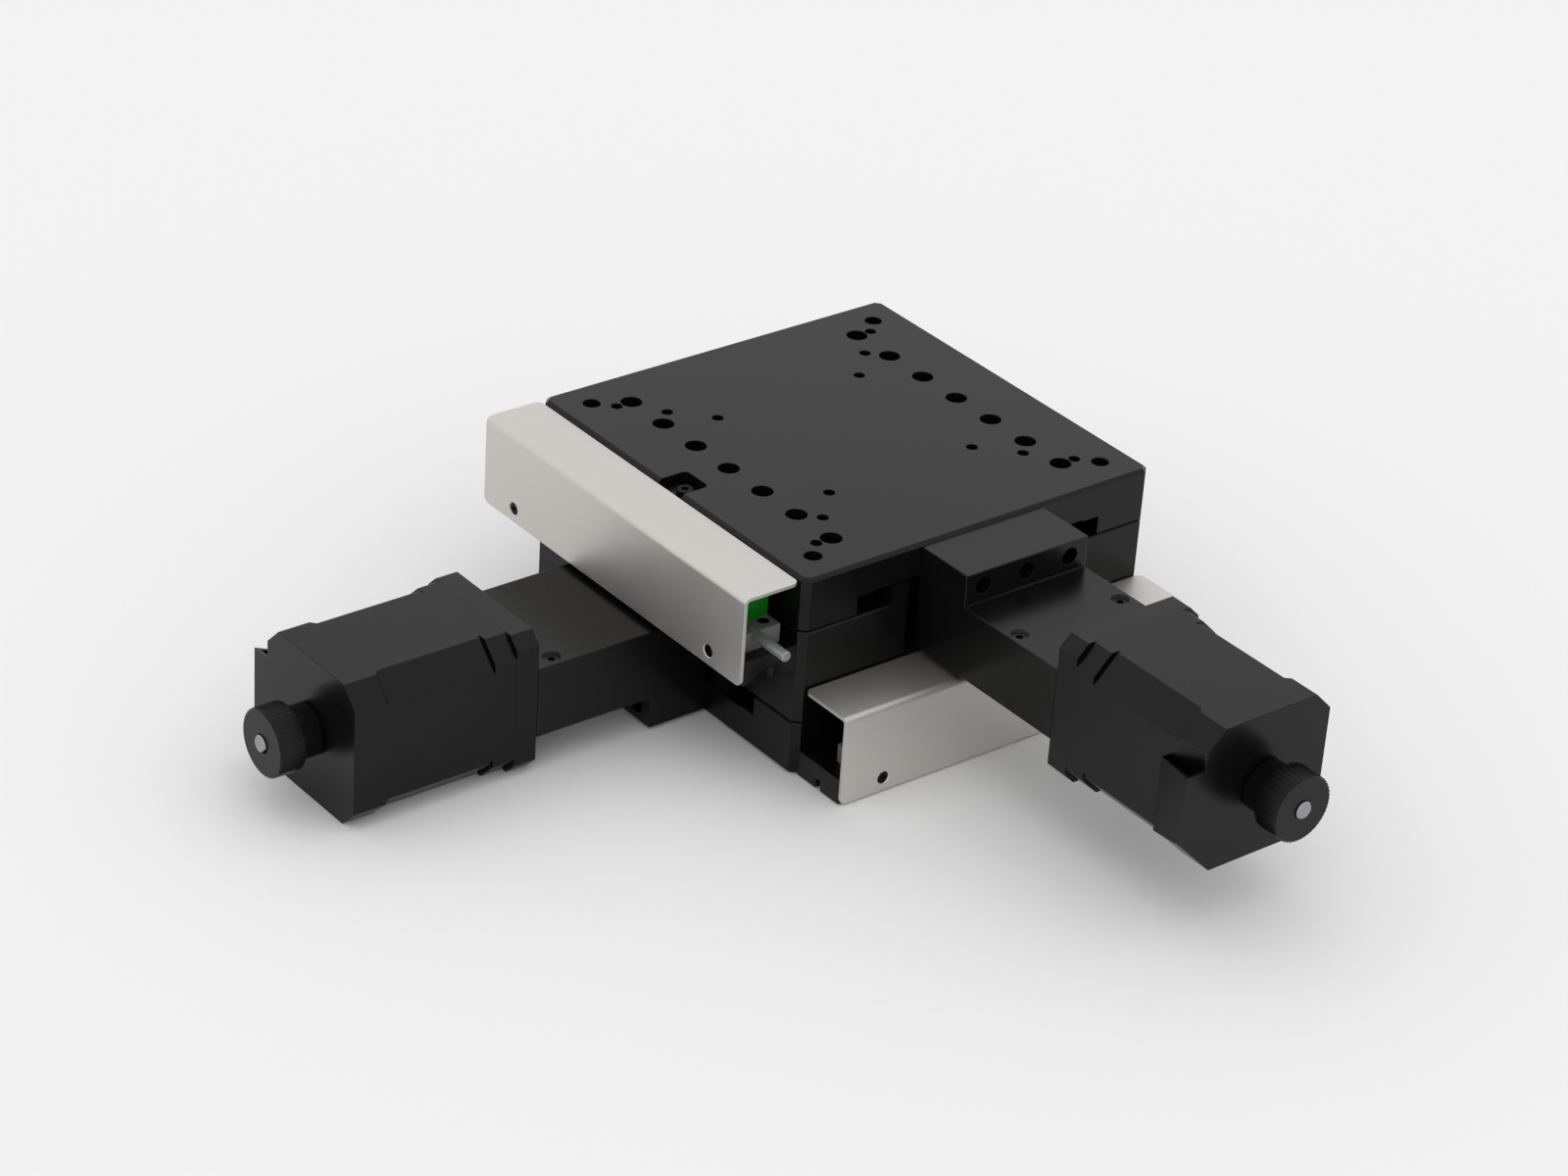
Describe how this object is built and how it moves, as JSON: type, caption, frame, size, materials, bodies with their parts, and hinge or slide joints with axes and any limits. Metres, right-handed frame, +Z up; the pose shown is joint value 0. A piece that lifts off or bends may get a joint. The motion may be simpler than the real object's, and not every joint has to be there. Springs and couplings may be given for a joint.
{
  "type": "motorised xy alignment stage",
  "caption": "Square two-axis alignment stage on crossed-roller guides, each axis driven by a square motor with a hand knob and fitted with slotted limit sensors under a sheet cover.",
  "frame": {"origin": "centre of the base plate's underside with both axes at mid travel", "axes": "+Z up through the table; +X is the lower axis's travel, its motor stands out towards -X; +Y is the upper axis's travel, its motor stands out towards -Y"},
  "size_m": [0.2484, 0.2484, 0.06],
  "materials": {
    "black_anodised": "matt black anodised",
    "motor_black": "matt black paint",
    "motor_plastic": "matt black moulded",
    "hard_steel": "ground",
    "black_steel": "black oxide",
    "bright_steel": "bright",
    "stainless_sheet": "satin",
    "brass": "turned",
    "bronze": "turned",
    "grey_post": "clear anodised",
    "board_green": "solder mask",
    "sensor_black": "moulded"
  },
  "bodies": {
    "base": {"base_plate": "black_anodised", "x_outer_rails": "hard_steel", "x_rail_screws": "black_steel", "x_motor_bracket": "black_anodised", "x_bracket_screws": "black_steel", "x_screw_bearings": "bright_steel", "x_bearing_cap": "black_anodised", "x_motor_plate": "black_anodised", "x_motor_screws": "black_steel", "x_motor_front_cap": "motor_black", "x_motor_stator": "motor_black", "x_motor_rear_cap": "motor_plastic", "x_sensor_bar": "black_anodised", "x_bar_screws": "black_steel", "x_sensor_posts": "grey_post", "x_sensor_board": "board_green", "x_limit_sensors": "sensor_black", "x_sensor_cover": "stainless_sheet", "x_cover_screws": "black_steel"},
    "carriage": {"middle_block": "black_anodised", "block_rails": "hard_steel", "drive_nuts": "bronze", "block_screws": "black_steel", "x_sensor_flag": "black_steel", "y_sensor_rod": "bright_steel", "y_sensor_bar": "black_anodised", "y_bar_screws": "black_steel", "y_sensor_posts": "grey_post", "y_sensor_board": "board_green", "y_limit_sensors": "sensor_black", "y_sensor_cover": "stainless_sheet", "y_cover_screws": "black_steel"},
    "table": {"table_plate": "black_anodised", "y_sensor_flag": "black_steel", "y_outer_rails": "hard_steel", "y_rail_screws": "black_steel", "y_motor_bracket": "black_anodised", "y_bracket_screws": "black_steel", "y_screw_bearings": "bright_steel", "y_bearing_cap": "black_anodised", "y_motor_plate": "black_anodised", "y_motor_screws": "black_steel", "y_motor_front_cap": "motor_black", "y_motor_stator": "motor_black", "y_motor_rear_cap": "motor_plastic"},
    "x_screw": {"x_lead_screw": "hard_steel", "x_lock_nut": "bright_steel", "x_coupling": "grey_post", "x_motor_rotor": "bright_steel", "x_knob": "black_anodised"},
    "y_screw": {"y_lead_screw": "hard_steel", "y_lock_nut": "bright_steel", "y_coupling": "grey_post", "y_motor_rotor": "bright_steel", "y_knob": "black_anodised"},
    "x_cages": {"x_roller_cages": "brass", "x_rollers": "bright_steel"},
    "y_cages": {"y_roller_cages": "brass", "y_rollers": "bright_steel"}
  },
  "joints": [
    {"name": "x_slide", "type": "slide", "parent": "base", "child": "carriage", "axis": [1, 0, 0], "range_m": [-0.015, 0.015]},
    {"name": "x_cage_slide", "type": "slide", "parent": "base", "child": "x_cages", "axis": [1, 0, 0], "range_m": [-0.0075, 0.0075]},
    {"name": "x_screw_turn", "type": "hinge", "parent": "base", "child": "x_screw", "pos_m": [-0.06, 0, 0.021], "axis": [1, 0, 0], "range_deg": [-2700, 2700]},
    {"name": "y_slide", "type": "slide", "parent": "carriage", "child": "table", "axis": [0, 1, 0], "range_m": [-0.015, 0.015]},
    {"name": "y_cage_slide", "type": "slide", "parent": "carriage", "child": "y_cages", "axis": [0, 1, 0], "range_m": [-0.0075, 0.0075]},
    {"name": "y_screw_turn", "type": "hinge", "parent": "table", "child": "y_screw", "pos_m": [0, -0.06, 0.039], "axis": [0, 1, 0], "range_deg": [-2700, 2700]}
  ],
  "couplings": [
    {"joint": "x_cage_slide", "follows": "x_slide", "ratio": 0.5},
    {"joint": "x_screw_turn", "follows": "x_slide", "rad_per_m": -3141.6},
    {"joint": "y_cage_slide", "follows": "y_slide", "ratio": 0.5},
    {"joint": "y_screw_turn", "follows": "y_slide", "rad_per_m": 3141.6}
  ]
}
